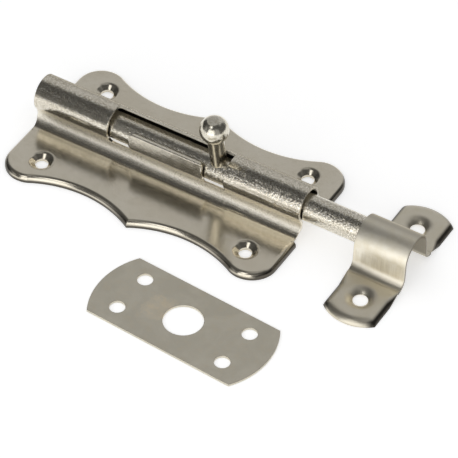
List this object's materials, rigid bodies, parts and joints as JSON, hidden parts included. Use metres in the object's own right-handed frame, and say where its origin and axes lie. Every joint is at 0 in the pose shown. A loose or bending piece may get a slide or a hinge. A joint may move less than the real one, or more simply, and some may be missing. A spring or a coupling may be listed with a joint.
{
  "type": "door bolt",
  "caption": "Barrel door bolt on a scalloped pressed plate, with a ball knob, a staple keeper and a loose strike plate.",
  "frame": {"origin": "centre of the housing's four screw holes, on the mounting face", "axes": "+X along the bolt towards the keeper, +Z out of the door, -Y towards the side that the knob is lowered to"},
  "size_m": [0.1356, 0.0971, 0.0344],
  "materials": {
    "sheet": "satin nickel plate on pressed steel sheet",
    "bar": "bright nickel plate with a grainy surface",
    "strike": "dull, lightly stained plating"
  },
  "bodies": {
    "base": {"housing": "sheet", "keeper": "sheet", "strike_plate": "strike"},
    "bolt": {"bolt_bar": "bar"},
    "handle": {"knob": "bar"}
  },
  "joints": [
    {"name": "bolt_slide", "type": "slide", "parent": "base", "child": "bolt", "axis": [1, 0, 0], "range_m": [-0.034, 0]},
    {"name": "knob_turn", "type": "hinge", "parent": "bolt", "child": "handle", "pos_m": [0.0166, 0, 0.01056], "axis": [1, 0, 0], "range_deg": [-2, 89.5]}
  ]
}
